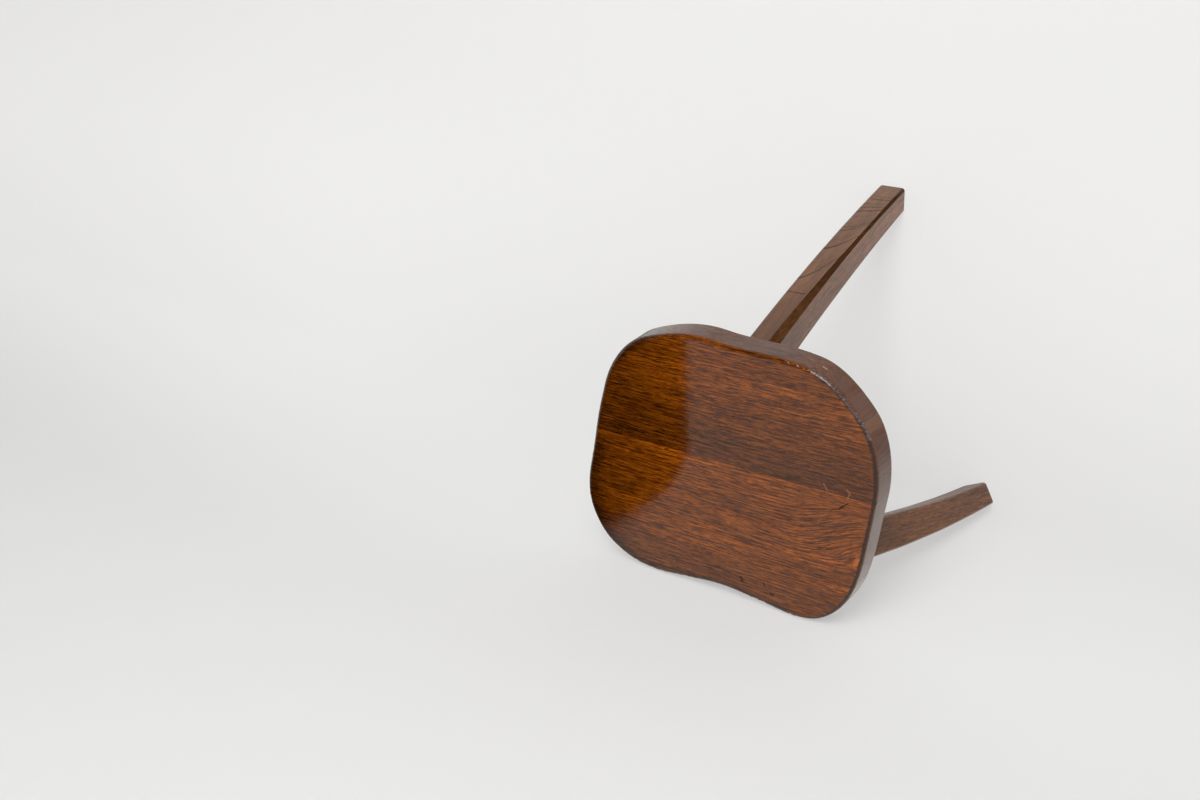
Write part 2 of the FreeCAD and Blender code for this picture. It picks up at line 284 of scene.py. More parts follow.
# %% Tenons
SHOULDER_GAP = 0.0002
LEG_SMOOTH_ANGLE = 32
for name in LEGS:
    tenon = merged_copy(name)
    bpy.ops.object.mode_set(mode="EDIT")
    bpy.ops.mesh.select_all(action="SELECT")
    bpy.ops.mesh.bisect(plane_co=(0, 0, UNDERSIDE + SHOULDER_GAP), plane_no=(0, 0, 1), use_fill=True,
                        clear_inner=True)
    bpy.ops.object.mode_set(mode="OBJECT")
    select_only(worked[name])
    tenon.select_set(True)
    bpy.ops.object.join()
    smooth_weighted(worked[name], LEG_SMOOTH_ANGLE)
    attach(worked[name], "root")
    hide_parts(name)
    print(name, "faces:", len(worked[name].data.polygons))

# %% [markdown]
# The seat's rim was shaped with a spokeshave and rubbed by hand. It undulates by half a millimetre, and its
# rounded upper corner is lumpy with lacquer. The rim's faces are found by their place and direction: near
# the farthest point of their sector of the outline, and facing outward.

# %% The faces of the seat's rim
RIM_DEPTH = 0.008
FACES_OUTWARD = 0.12
SECTORS = 120


def sector_of(place):
    """Which sector round the middle a place is in."""
    return int((math.atan2(place.y, place.x) + math.pi) / math.radians(360 / SECTORS))


reaches = {}
for name in SEAT_BOARDS:
    for point in nodes[name].data.vertices:
        sector = sector_of(point.co)
        reaches[sector] = max(reaches.get(sector, 0.0), point.co.xy.length)
print("the seat reaches", round(min(reaches.values()), 4), "to", round(max(reaches.values()), 4), "m out")


def on_rim(face):
    """Whether a face of a seat board belongs to the rim."""
    out = Vector((face.center.x, face.center.y, 0))
    sector = sector_of(out)
    near = max(reaches.get((sector + shift) % SECTORS, 0.0) for shift in (-1, 0, 1))
    if out.length < near - RIM_DEPTH:
        return False
    return out.normalized().dot(face.normal) > FACES_OUTWARD


def rim_points(mesh):
    """The numbers of the points that the rim's faces have."""
    return {index for face in mesh.polygons if on_rim(face) for index in face.vertices}


# %% [markdown]
# Those faces are cut finer with subdivide, the corner's finest of all, and their points are pushed inward by
# noise, since a bevel would leave too even a line. The push depends on the place alone, so the boards still
# meet at their glue lines.

# %% The hand-shaped rim of the seat
LONGEST_EDGE = 0.0025
LONGEST_CORNER_EDGE = 0.0008
CORNER_HEIGHT = 0.0055
WAVE_DEPTH = 0.0006
WAVES_PER_METRE = 26
LUMP_DEPTH = 0.0005
LUMPS_PER_METRE = (300, 700)
LUMPS_START = 0.006
LUMPS_FULL = 0.003
LUMP_SLANT = 0.7


def cut_between(piece, points, longest, cuts):
    """Cut the edges that are longer than a limit and have both ends among the given points."""
    places = {tuple(piece.data.vertices[index].co) for index in points}
    pick_edges(piece, lambda a, b: (a - b).length > longest and tuple(a) in places and tuple(b) in places)
    bpy.ops.mesh.subdivide(number_cuts=cuts)
    bpy.ops.object.mode_set(mode="OBJECT")


def pushed(place):
    """Where the hand tools leave a point of the rim: waves all round, and lumps on the rounded corner."""
    inward = Vector((-place.x, -place.y, 0)).normalized()
    wave = 0.5 + 0.5 * noise_at(place * WAVES_PER_METRE)
    coarse, fine = (noise_at(place * density) for density in LUMPS_PER_METRE)
    lump = 0.5 + 0.35 * coarse + 0.15 * fine
    corner = step(place.z, SEAT_TOP - LUMPS_START, SEAT_TOP - LUMPS_FULL)
    down = Vector((0, 0, -LUMP_SLANT)) * (corner if place.z < SEAT_TOP - TOUCHING else 0.0)
    return place + (inward * WAVE_DEPTH * wave + (inward * LUMP_SLANT + down) * LUMP_DEPTH * lump * corner)


def shape_rim(piece):
    """Cut the rim's faces finer, then push their points inward."""
    mesh = piece.data
    cut_between(piece, rim_points(mesh), LONGEST_EDGE, cuts=3)
    corner = [index for index in rim_points(mesh) if mesh.vertices[index].co.z > SEAT_TOP - CORNER_HEIGHT]
    cut_between(piece, corner, LONGEST_CORNER_EDGE, cuts=1)
    rim = rim_points(mesh)
    for index in rim:
        mesh.vertices[index].co = pushed(mesh.vertices[index].co.copy())
    return len(rim)


# %% [markdown]
# Where two cuts of different fineness meet, a triangle can be left that hangs on by one edge. It is taken
# out, so that each board stays closed. Then the corners of the flat top are pointed straight up, because any
# kink would show in the shine.

# %% Flaps out, and the top settled
LEVEL = 0.9999
SEAT_SMOOTH_ANGLE = 50


def drop_flaps(piece):
    """Make every face a triangle and take out flaps, which hang on by one edge with their other two free."""
    select_only(piece)
    bpy.ops.object.mode_set(mode="EDIT")
    bpy.ops.mesh.select_mode(type="FACE")
    bpy.ops.mesh.select_all(action="SELECT")
    bpy.ops.mesh.quads_convert_to_tris(quad_method="BEAUTY", ngon_method="BEAUTY")
    bpy.ops.mesh.select_all(action="DESELECT")
    bpy.ops.object.mode_set(mode="OBJECT")
    uses = {}
    for face in piece.data.polygons:
        for key in face.edge_keys:
            uses[key] = uses.get(key, 0) + 1
    flaps = [face.index for face in piece.data.polygons if [uses[key] for key in face.edge_keys].count(1) == 2]
    for index in flaps:
        piece.data.polygons[index].select = True
    bpy.ops.object.mode_set(mode="EDIT")
    bpy.ops.mesh.delete(type="FACE")
    bpy.ops.object.mode_set(mode="OBJECT")
    return len(flaps)


def settle_top(piece):
    """Point every corner of the flat top's faces straight up, so that it mirrors without a kink."""
    mesh = piece.data
    normals = [corner.vector.copy() for corner in mesh.corner_normals]
    for face in mesh.polygons:
        if face.normal.z > LEVEL and face.center.z > SEAT_TOP - TOUCHING:
            for corner in face.loop_indices:
                normals[corner] = Vector((0, 0, 1))
    mesh.normals_split_custom_set(normals)


for name in SEAT_BOARDS:
    board = worked[name] = merged_copy(name)
    print(name, "rim points:", shape_rim(board), "flaps taken out:", drop_flaps(board))
    smooth_weighted(board, SEAT_SMOOTH_ANGLE)
    settle_top(board)
    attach(board, "root")
    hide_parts(name)

# %% [markdown]
# Materials are built from nodes. Small helpers keep the recipes short: put adds a node with its settings and
# inputs, maths adds one sum, and product and strongest join several values.


# %% Node helpers
def feed(tree, value, target):
    """Link a socket to the target, or set the target to a plain value."""
    if isinstance(value, bpy.types.NodeSocket):
        tree.links.new(value, target)
    else:
        target.default_value = value


def put(tree, kind, inputs=None, **settings):
    """Add a shader node with its settings and inputs."""
    node = tree.nodes.new("ShaderNode" + kind)
    for name, value in settings.items():
        setattr(node, name, value)
    for name, value in (inputs or {}).items():
        feed(tree, value, node.inputs[name])
    return node


def maths(tree, operation, *values):
    """One sum of plain values and sockets."""
    node = put(tree, "Math", dict(enumerate(values)), operation=operation)
    return node.outputs[0]


def product(tree, first, *others):
    """Several values multiplied."""
    for other in others:
        first = maths(tree, "MULTIPLY", first, other)
    return first


def strongest(tree, first, *others):
    """The largest of several masks."""
    for other in others:
        first = maths(tree, "MAXIMUM", first, other)
    return first


def vector_maths(tree, operation, *values):
    """One sum of vectors."""
    node = put(tree, "VectorMath", dict(enumerate(values)), operation=operation)
    return node.outputs["Value" if operation in ("LENGTH", "DOT_PRODUCT") else "Vector"]


def scaled(tree, vector, factor):
    """A vector made longer or shorter by a factor."""
    node = put(tree, "VectorMath", {0: vector}, operation="SCALE")
    tree.links.new(factor, node.inputs["Scale"])
    return node.outputs["Vector"]


def parts_of(tree, vector):
    """The X, Y and Z of a vector."""
    return put(tree, "SeparateXYZ", {"Vector": vector}).outputs


# %% [markdown]
# Wood needs four more: a smooth step between two limits, a mix of two colours by a mask, noise that can be
# stretched along the grain, and the direction of the surface. A recipe that several planks share is a group,
# which new_group opens and close_group ends, and new_material starts a material.


# %% Steps, mixes, noise and groups
def ramp(tree, value, low, high, out_low=0.0, out_high=1.0):
    """Smooth step of a value between two limits."""
    inputs = {"Value": value, "From Min": low, "From Max": high, "To Min": out_low, "To Max": out_high}
    return put(tree, "MapRange", inputs, interpolation_type="SMOOTHSTEP").outputs["Result"]


def blend(tree, mask, first, second, how="MIX"):
    """Mix two colours by a mask."""
    node = put(tree, "Mix", {0: mask, 6: first, 7: second}, data_type="RGBA", blend_type=how)
    return node.outputs[2]


def noise(tree, vector, stretch, detail=2.0, roughness=0.5):
    """Noise whose grains are stretched: stretch is cycles per metre along X, Y and Z."""
    stretched = vector_maths(tree, "MULTIPLY", vector, stretch)
    inputs = {"Vector": stretched, "Scale": 1.0, "Detail": detail, "Roughness": roughness}
    return put(tree, "TexNoise", inputs).outputs["Fac"]


def surface_normal(tree):
    """The direction that the surface faces."""
    return put(tree, "NewGeometry").outputs["Normal"]


def new_material(name):
    """A material with its tree and its shader."""
    material = bpy.data.materials.new(name)
    material.use_nodes = True
    return material, material.node_tree, material.node_tree.nodes["Principled BSDF"]


def new_group(name, given, results):
    """Open a group. given and results name its sockets and say what kind each is."""
    tree = bpy.data.node_groups.new(name, "ShaderNodeTree")
    for in_out, sockets in (("INPUT", given), ("OUTPUT", results)):
        for socket, kind in sockets.items():
            tree.interface.new_socket(socket, in_out=in_out, socket_type="NodeSocket" + kind)
    return tree, tree.nodes.new("NodeGroupInput").outputs


def close_group(tree, made):
    """Link what a group made to its outputs."""
    result = tree.nodes.new("NodeGroupOutput")
    for name, value in made.items():
        tree.links.new(value, result.inputs[name])
    print("group:", tree.name, "with", len(tree.nodes), "nodes")
    return tree


# %% [markdown]
# Oak is a solid: the same growth rings run through a board's face, its edge and its end. So the grain is
# worked out in three dimensions, in the plank's own coordinates: X runs along the grain and the heart of
# the tree is the X axis. The distance from that axis, made to wander a little, counts the rings. Long thin
# grains of noise are the open pores, which crowd into the early wood of each ring. Each size below is in
# cycles of noise per metre, along the grain and twice across it.

# %% Oak grain, a group shared by every piece
GRAIN = {
    "wander": (3.5, 18.0, 18.0), "ripple": (45.0, 80.0, 80.0), "gaps": (14.0, 170.0, 170.0),
    "long fibres": (17.0, 540.0, 540.0), "short fibres": (70.0, 620.0, 620.0), "dashes": (34.0, 560.0, 560.0),
    "coarse pores": (70.0, 800.0, 800.0), "fine pores": (170.0, 2200.0, 2200.0), "tone": (9.0, 50.0, 50.0),
    "sheen": (24.0, 760.0, 760.0),
}
ACROSS = (0.0, 1.0, 1.0)
RING_STARTS = 0.02
FAINTEST_RING = 0.45


def sway(tree, plank, stretch, amount):
    """A sideways push of the grain that changes slowly along the plank."""
    stretched = vector_maths(tree, "MULTIPLY", plank, stretch)
    loose = put(tree, "TexNoise", {"Vector": stretched, "Scale": 1.0, "Detail": 2.0}).outputs["Color"]
    centred = vector_maths(tree, "SUBTRACT", loose, (0.5, 0.5, 0.5))
    return scaled(tree, vector_maths(tree, "MULTIPLY", centred, ACROSS), amount)


def growth_lines(tree, plank, given):
    """Early wood, and its broken dark lines: each ring starts dark and fades, and no two are alike."""
    radius = vector_maths(tree, "LENGTH", vector_maths(tree, "MULTIPLY", plank, ACROSS))
    count = maths(tree, "DIVIDE", radius, given["Ring Width"])
    age = maths(tree, "FRACT", count)
    ring = maths(tree, "FLOOR", count)
    strength = put(tree, "TexWhiteNoise", {"W": ring}, noise_dimensions="1D").outputs["Value"]
    early = product(tree, ramp(tree, age, given["Line Share"], RING_STARTS), ramp(tree, age, 0.0, RING_STARTS))
    gaps = ramp(tree, noise(tree, plank, GRAIN["gaps"]), 0.55, 0.38)
    whole = maths(tree, "SUBTRACT", 1.0, product(tree, gaps, given["Breaks"]))
    return early, product(tree, early, ramp(tree, strength, 0.0, 1.0, FAINTEST_RING, 1.0), whole)


def open_pores(tree, plank, early):
    """Long dark dashes, and pores that crowd into the early wood."""
    dashes = ramp(tree, noise(tree, plank, GRAIN["dashes"], 1.0, 0.6), 0.55, 0.66)
    coarse = ramp(tree, noise(tree, plank, GRAIN["coarse pores"], 1.0), 0.54, 0.64)
    fine = ramp(tree, noise(tree, plank, GRAIN["fine pores"], 1.0), 0.55, 0.66)
    crowd = maths(tree, "MULTIPLY_ADD", early, 0.4, 0.6)
    return strongest(tree, product(tree, strongest(tree, coarse, fine), crowd), product(tree, dashes, 0.8))


def build_oak():
    """The group: plank coordinates in, masks and a height out."""
    amounts = ("Ring Width", "Line Share", "Breaks", "Wander", "Ripple")
    results = ("Tone", "Lines", "Fibres", "Pores", "Sheen", "Height")
    sockets = {"Plank": "Vector", **dict.fromkeys(amounts, "Float")}
    tree, given = new_group("oak_grain", sockets, dict.fromkeys(results, "Float"))

    # A slow wander and a quick ripple push all that follows to the side
    straight = given["Plank"]
    plank = vector_maths(tree, "ADD", straight, sway(tree, straight, GRAIN["wander"], given["Wander"]))
    plank = vector_maths(tree, "ADD", plank, sway(tree, straight, GRAIN["ripple"], given["Ripple"]))

    early, lines = growth_lines(tree, plank, given)
    pores = open_pores(tree, plank, early)
    short = product(tree, noise(tree, plank, GRAIN["short fibres"], 3.0, 0.62), 0.5)
    fibres = maths(tree, "MULTIPLY_ADD", noise(tree, plank, GRAIN["long fibres"], 2.0, 0.6), 0.5, short)
    tone = noise(tree, plank, GRAIN["tone"], 4.0, 0.6)
    sheen = ramp(tree, noise(tree, plank, GRAIN["sheen"], 2.0, 0.6), 0.36, 0.6)
    height = maths(tree, "MULTIPLY_ADD", pores, -1.0, product(tree, fibres, 0.25))
    return close_group(tree, dict(zip(results, (tone, lines, fibres, pores, sheen, height))))


oak_grain = build_oak()

# %% [markdown]
# The seat's upper edge is rounded by hand. Stain gathers there and dries nearly black on three sides. Below
# it, the rim drinks more stain than the top, and most of all where it cuts across the grain, where upright
# scrape marks show too. The underside got stain but no lacquer. The direction of the surface tells these
# places apart, so one group reads it. Each pair says how far the surface faces up or along an axis where a
# mask starts and where it is full.

# %% Seat rim, a group
EDGE_FROM_TOP = (0.992, 0.945)
EDGE_FROM_RIM = (0.32, 0.66)
CLEAN_SIDE_Y = (-0.02, -0.25)
CLEAN_SIDE_X = (-0.26, -0.12)
END_FACES = (0.35, 0.9)
RIM_FACES = (0.6, 0.15)
UNDER_FACES = (-0.35, -0.85)
SCRAPE_STRETCH = (850.0, 850.0, 40.0)


def build_rim():
    """The group: masks of the stained edge, of the rim with its end grain and scrapes, and of the underside."""
    results = ("Stain", "Rim", "End Grain", "Scrapes", "Underside")
    tree, given = new_group("seat_rim", {"Place": "Vector"}, dict.fromkeys(results, "Float"))
    facing = parts_of(tree, surface_normal(tree))
    upward = facing["Z"]
    rounded = product(tree, ramp(tree, upward, *EDGE_FROM_TOP), ramp(tree, upward, *EDGE_FROM_RIM))
    clean = product(tree, ramp(tree, facing["Y"], *CLEAN_SIDE_Y), ramp(tree, facing["X"], *CLEAN_SIDE_X))
    stain = product(tree, rounded, maths(tree, "SUBTRACT", 1.0, clean))
    endways = ramp(tree, maths(tree, "ABSOLUTE", facing["X"]), *END_FACES)
    rim = ramp(tree, upward, *RIM_FACES)
    scrapes = ramp(tree, noise(tree, given["Place"], SCRAPE_STRETCH, 2.0, 0.6), 0.35, 0.65)
    under = ramp(tree, upward, *UNDER_FACES)
    return close_group(tree, dict(zip(results, (stain, rim, endways, scrapes, under))))


seat_rim = build_rim()

# %% [markdown]
# The seat bears its history: a hooked fleck and a crack beside a small knot, a few nicks, and a pale scar on
# the rim. A facet of the rim gets a faint painted highlight. Along one rounded corner a greyish strip with
# pale specks is a painted reflection, standing in for light glinting on lumpy lacquer. Along other stretches
# of the edge the seat is made darker. Each is a chain of short strokes: the two ends of a stroke in metres,
# and its width.

# %% Where the marks are
KNOT = (-0.150, 0.040, 0.0)
FLECK = [(-0.1375, -0.006, -0.1425, 0.002, 0.0009), (-0.1670, -0.0055, -0.1715, -0.0025, 0.0010),
         (-0.1715, -0.0025, -0.1685, 0.0055, 0.0009)]
CRACK = [(-0.1468, 0.0285, -0.1510, 0.0245, 0.0005), (-0.1510, 0.0245, -0.1580, 0.0225, 0.0007),
         (-0.1580, 0.0225, -0.1640, 0.0165, 0.0010), (-0.1640, 0.0165, -0.1690, 0.0120, 0.0006)]
SCAR = (-0.1238, -0.1440, -0.1285, -0.1419, 0.0009)
# A faint painted highlight on a facet of the rim
FACET_HIGHLIGHT = (-0.1862, -0.0915, -0.1902, -0.0835, 0.0030)
# Strokes of a painted reflection: a strip of glints along one rounded corner
GLINT_STRIP = [(-0.1150, -0.1472, -0.1256, -0.1445, 0.0022), (-0.1256, -0.1445, -0.1426, -0.1356, 0.0027),
        (-0.1426, -0.1356, -0.1586, -0.1246, 0.0027), (-0.1586, -0.1246, -0.1726, -0.1096, 0.0027),
        (-0.1726, -0.1096, -0.1855, -0.0925, 0.0025), (-0.1855, -0.0925, -0.1935, -0.0772, 0.0020)]
DUSK = [(0.1832, 0.0250, 0.1952, 0.0790, 0.0110), (0.1952, 0.0790, 0.1992, 0.1140, 0.0140),
        (0.1992, 0.1140, 0.1852, 0.1440, 0.0140), (0.1852, 0.1440, 0.1602, 0.1690, 0.0100),
        (0.1602, 0.1690, 0.1202, 0.1840, 0.0060), (0.1202, 0.1850, 0.0200, 0.1790, 0.0030),
        (0.0200, 0.1790, -0.0900, 0.1860, 0.0030), (0.1652, -0.0860, 0.1352, -0.1180, 0.0070),
        (0.1352, -0.1180, 0.1000, -0.1450, 0.0070)]
NICKS = [(-0.0268, 0.1600, -0.0290, 0.1640, 0.0018), (-0.0590, 0.1580, -0.0606, 0.1610, 0.0012),
         (-0.0690, 0.1690, -0.0730, 0.1702, 0.0013), (0.0875, 0.0000, 0.0820, 0.0014, 0.0012),
         (0.0815, 0.0072, 0.0770, 0.0062, 0.0010), (-0.0160, -0.0620, -0.0185, -0.0628, 0.0008)]
print("strokes:", len(FLECK + CRACK + [SCAR, FACET_HIGHLIGHT] + GLINT_STRIP + DUSK + NICKS))

# %% [markdown]
# A mask is drawn from how near a point of the seat's top is to a stroke, and noise makes it ragged. A
# painted picture could do that too, but strokes stay sharp from any distance.


# %% Strokes
def stroke(tree, flat_place, ends, ragged):
    """A mask round the line between two points of the seat's top, with a ragged edge."""
    x0, y0, x1, y1, thick = ends
    run = Vector((x1 - x0, y1 - y0, 0))
    offset = vector_maths(tree, "SUBTRACT", flat_place, (x0, y0, 0))
    share = maths(tree, "DIVIDE", vector_maths(tree, "DOT_PRODUCT", offset, run), run.length_squared)
    share = put(tree, "Clamp", {"Value": share}).outputs["Result"]
    away = vector_maths(tree, "LENGTH", vector_maths(tree, "SUBTRACT", offset, scaled(tree, run, share)))
    away = maths(tree, "MULTIPLY_ADD", ragged, thick * 2, away)
    return ramp(tree, away, thick * 1.7, thick * 0.2)


def strokes(tree, flat_place, rows, ragged):
    """The strongest of several strokes."""
    return strongest(tree, 0.0, *[stroke(tree, flat_place, ends, ragged) for ends in rows])


# %% [markdown]
# Beside the knot the grain fans out, so the plank's coordinates are pushed to the side there. Round the knot
# pale flecks curl, and a chattering plane left faint teeth, which a sine draws.

# %% Growth round the knot
FAN_ALONG = (-0.09, -0.215)
FAN_PUSH = 0.036
FAN_FADES_IN = (0.004, 0.035)
FAN_FADES_OUT = (0.115, 0.06)
CURL_SLANT = math.radians(-38)
CURL_STRETCH = (60.0, 520.0, 1.0)
KNOT_REACH = (14.0, 26.0, 0.0)
TEETH = (-0.175, -0.016, 0.0)
TEETH_REACH = (50, 80, 0)
# How far the sine turns in a metre
TEETH_RADIANS = 1400


def fan_out(tree, place, parts):
    """The place, pushed sideways toward the seat's right end, within its own board."""
    within = product(tree, ramp(tree, parts["Y"], *FAN_FADES_IN), ramp(tree, parts["Y"], *FAN_FADES_OUT))
    fanned = product(tree, ramp(tree, parts["X"], *FAN_ALONG, 0.0, FAN_PUSH), within)
    return vector_maths(tree, "ADD", place, put(tree, "CombineXYZ", {"Y": fanned}).outputs["Vector"])


def curls(tree, flat_place):
    """Pale flecks that curl round the knot."""
    from_knot = vector_maths(tree, "SUBTRACT", flat_place, KNOT)
    slanted = put(tree, "Mapping", {"Vector": from_knot, "Rotation": (0, 0, CURL_SLANT)}).outputs["Vector"]
    away = vector_maths(tree, "LENGTH", vector_maths(tree, "MULTIPLY", from_knot, KNOT_REACH))
    return product(tree, ramp(tree, noise(tree, slanted, CURL_STRETCH, 2.0), 0.58, 0.70), ramp(tree, away, 1, 0))


def teeth(tree, flat_place, parts):
    """Marks that a chattering plane left beside the knot."""
    tooth = maths(tree, "SINE", product(tree, parts["X"], TEETH_RADIANS))
    beside = vector_maths(tree, "SUBTRACT", flat_place, TEETH)
    away = vector_maths(tree, "LENGTH", vector_maths(tree, "MULTIPLY", beside, TEETH_REACH))
    return product(tree, ramp(tree, tooth, 0.5, 1.0), ramp(tree, away, 1.2, 0.4), 0.2)


# %% [markdown]
# All marks go into one group, and each board is given the whole of it, so that a mark can cross a glue line.
# The scar on the rim and the painted highlight on one of its facets are strokes as well, and the scar
# also has its height.

# %% Marks of use and growth, with painted glints and a painted highlight, a group
SCAR_RISES = (0.4005, 0.4020)
SCAR_FALLS = (0.4045, 0.4028)


def scar_and_highlight(tree, flat_place, parts, ragged):
    """A short pale scar half-way down the rim, and a faint painted highlight on a facet."""
    high = product(tree, ramp(tree, parts["Z"], *SCAR_RISES), ramp(tree, parts["Z"], *SCAR_FALLS))
    scar = product(tree, stroke(tree, flat_place, SCAR, ragged), high, 0.6)
    return strongest(tree, scar, product(tree, stroke(tree, flat_place, FACET_HIGHLIGHT, ragged), 0.14))


def build_marks():
    """The group: a place on the seat in; masks of light and dark marks and the turned grain out."""
    masks = ("Light", "Dark", "Scar And Highlight", "Glint Strip", "Glints", "Dusk")
    tree, given = new_group("seat_marks", {"Place": "Vector"},
                            {"Turned": "Vector", **dict.fromkeys(masks, "Float")})
    place = given["Place"]
    parts = parts_of(tree, place)
    flat_place = vector_maths(tree, "MULTIPLY", place, (1.0, 1.0, 0.0))
    ragged = maths(tree, "SUBTRACT", noise(tree, place, (600.0, 600.0, 600.0), 1.0), 0.5)
    made = {"Turned": fan_out(tree, place, parts)}
    made["Light"] = strongest(tree, product(tree, curls(tree, flat_place), 0.45),
                              strokes(tree, flat_place, FLECK, ragged))
    nicks = product(tree, strokes(tree, flat_place, NICKS, ragged), 0.8)
    made["Dark"] = strongest(tree, teeth(tree, flat_place, parts), nicks, strokes(tree, flat_place, CRACK, ragged))
    made["Scar And Highlight"] = scar_and_highlight(tree, flat_place, parts, ragged)
    # The strip of the painted reflection, and its painted glints
    made["Glint Strip"] = strokes(tree, flat_place, GLINT_STRIP, ragged)
    made["Glints"] = ramp(tree, noise(tree, place, (560.0, 560.0, 560.0), 2.0, 0.7), 0.42, 0.66)
    made["Dusk"] = strokes(tree, flat_place, DUSK, ragged)
    return close_group(tree, made)


seat_marks = build_marks()

# %% [markdown]
# The single leg was sawn so that its growth rings come out on the outer face as a row of thin arched lines.
# Each starts square to one edge, bends, and runs along the other edge toward the foot. One formula gives the
# height at which the line through any point started, and noise makes it uneven. A few strong lines have
# their starts listed, as height, width and strength, and fine noise follows the same curves between them.
# Only the outer face has them, so the group reads the surface's direction too.

# %% Arched growth lines, a group
LINE_STARTS = [(0.2383, 0.0013, 0.9), (0.2050, 0.0007, 0.35), (0.1709, 0.0013, 0.9), (0.1500, 0.0007, 0.4),
               (0.1259, 0.0011, 0.7), (0.1180, 0.0009, 0.6), (0.0900, 0.0006, 0.4), (0.0755, 0.0012, 0.8),
               (0.0645, 0.0010, 0.7), (0.0540, 0.0008, 0.5), (0.0403, 0.0010, 0.7), (0.0310, 0.0008, 0.5)]
LINE_BEND = 0.36
LINE_BEND_POWER = 1.8
LINE_LOWEST = 0.035
# The stretch of each noise, and the most by which it lifts a line
SLOW_NOISE = ((60.0, 1.0, 20.0), 0.011)
QUICK_NOISE = ((330.0, 1.0, 200.0), 0.0030)
NOISE_MIDDLE = 0.007
FINE_STRETCH = (3.0, 620.0, 1.0)
FINE_STRENGTH = 0.35


def line_start(tree, parts, across, place):
    """The height at which the line through a place started."""
    bend = maths(tree, "POWER", across, LINE_BEND_POWER)
    raised = maths(tree, "MULTIPLY_ADD", bend, -LINE_BEND * LINE_LOWEST, parts["Z"])
    started = maths(tree, "DIVIDE", raised, maths(tree, "MULTIPLY_ADD", bend, -LINE_BEND, 1.0))
    slow = product(tree, noise(tree, place, SLOW_NOISE[0], 2.0), SLOW_NOISE[1])
    quick = product(tree, noise(tree, place, QUICK_NOISE[0], 1.0), QUICK_NOISE[1])
    return maths(tree, "ADD", maths(tree, "ADD", started, -NOISE_MIDDLE), maths(tree, "ADD", slow, quick))


def build_arches():
    """The group: a place on the single leg in; masks of its arched lines and of its outer face out."""
    results = ("Arches", "Outer Face")
    tree, given = new_group("arched_lines", {"Place": "Vector"}, dict.fromkeys(results, "Float"))
    place = given["Place"]
    parts = parts_of(tree, place)
    low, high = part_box("leg_front")
    span = {"Value": parts["X"], "From Min": high.x, "From Max": low.x}
    across = put(tree, "MapRange", span).outputs["Result"]
    started = line_start(tree, parts, across, place)
    line = 0.0
    for height, thick, strength in LINE_STARTS:
        away = maths(tree, "ABSOLUTE", maths(tree, "SUBTRACT", started, height))
        line = strongest(tree, line, ramp(tree, away, thick * 2.0, thick * 0.4, 0.0, strength))
    lengthwise = put(tree, "CombineXYZ", {"X": across, "Y": started}).outputs["Vector"]
    fine = ramp(tree, noise(tree, lengthwise, FINE_STRETCH, 2.0, 0.6), 0.50, 0.72)
    line = strongest(tree, line, product(tree, fine, FINE_STRENGTH))
    facing = vector_maths(tree, "DOT_PRODUCT", surface_normal(tree), (0.0, -1.0, 0.0))
    outer = ramp(tree, facing, 0.6, 0.85)
    return close_group(tree, dict(zip(results, (product(tree, line, outer), outer))))


arched_lines = build_arches()

# %% [markdown]
# What tells one plank from another is a short list of numbers. Lengths are in metres: ring is the width of a
# growth ring, wander and ripple how far the grain strays. Share is how much of a ring its dark line takes,
# and breaks how broken that line is. Lines and pores say how dark those are, and broad how far the tone
# drifts. Coat is the lacquer, sunk what a pore takes from it, dull what is left of it where it is thin, and
# rough the wood beneath. Deep and bright are the stain between and on the fibres, and dark its darkest.

# %% Looks of the oak
SEAT_LOOK = {
    "ring": 0.0034, "share": 0.32, "breaks": 1.0, "wander": 0.012, "ripple": 0.0012, "lines": 0.75,
    "pores": 0.8, "sunk": 0.2, "dull": 0.76, "broad": 0.24, "coat": 1.0, "rough": 0.5,
    "deep": (0.070, 0.0132, 0.0005), "bright": (0.255, 0.0635, 0.0024), "dark": (0.015, 0.004, 0.0004),
}
WAVY_LOOK = dict(SEAT_LOOK, ripple=0.0026, wander=0.014)
LEG_LOOK = {
    "ring": 0.0030, "share": 0.25, "breaks": 0.6, "wander": 0.005, "ripple": 0.0006, "lines": 0.8,
    "pores": 0.56, "sunk": 0.1, "dull": 0.85, "broad": 0.2, "coat": 1.0, "rough": 0.5,
    "deep": (0.109, 0.042, 0.0168), "bright": (0.216, 0.0825, 0.033), "dark": (0.014, 0.007, 0.004),
}
ARCHED_LOOK = dict(LEG_LOOK, lines=0.2, pores=0.15, deep=(0.122, 0.050, 0.021), bright=(0.166, 0.0665, 0.0278))
BARE_LOOK = {
    "ring": 0.002, "share": 0.4, "breaks": 0.5, "wander": 0.002, "ripple": 0.0004, "lines": 0.3,
    "pores": 0.3, "sunk": 0.0, "dull": 1.0, "broad": 0.15, "coat": 0.0, "rough": 0.7,
    "deep": (0.42, 0.26, 0.13), "bright": (0.56, 0.38, 0.21), "dark": (0.25, 0.14, 0.07),
}
print("growth rings:", SEAT_LOOK["ring"], "m in the seat,", LEG_LOOK["ring"], "m in the legs")

# %% [markdown]
# The finish of the seat is laid over its grain in this order: the boards' own tones, a darkening toward
# the left end and along some edges, the thirsty rim with its end grain and scrapes, the scar and the painted
# highlight on a facet, the black line of the rounded edge, and last the painted reflection of glints along
# one corner. Each board's broad tones are listed as bands.

# %% The finish of the seat
RIM_TONE = (0.048, 0.016, 0.007, 1.0)
END_TONE = (0.095, 0.038, 0.021, 1.0)
EDGE_TONE = (*SEAT_LOOK["dark"], 1.0)
# The painted reflection's greyish strip and its pale painted glints
GLINT_STRIP_TONE = (0.040, 0.031, 0.032, 1.0)
GLINT_TONE = (0.24, 0.20, 0.205, 1.0)
FLECK_TONE = (0.30, 0.12, 0.045, 1.0)
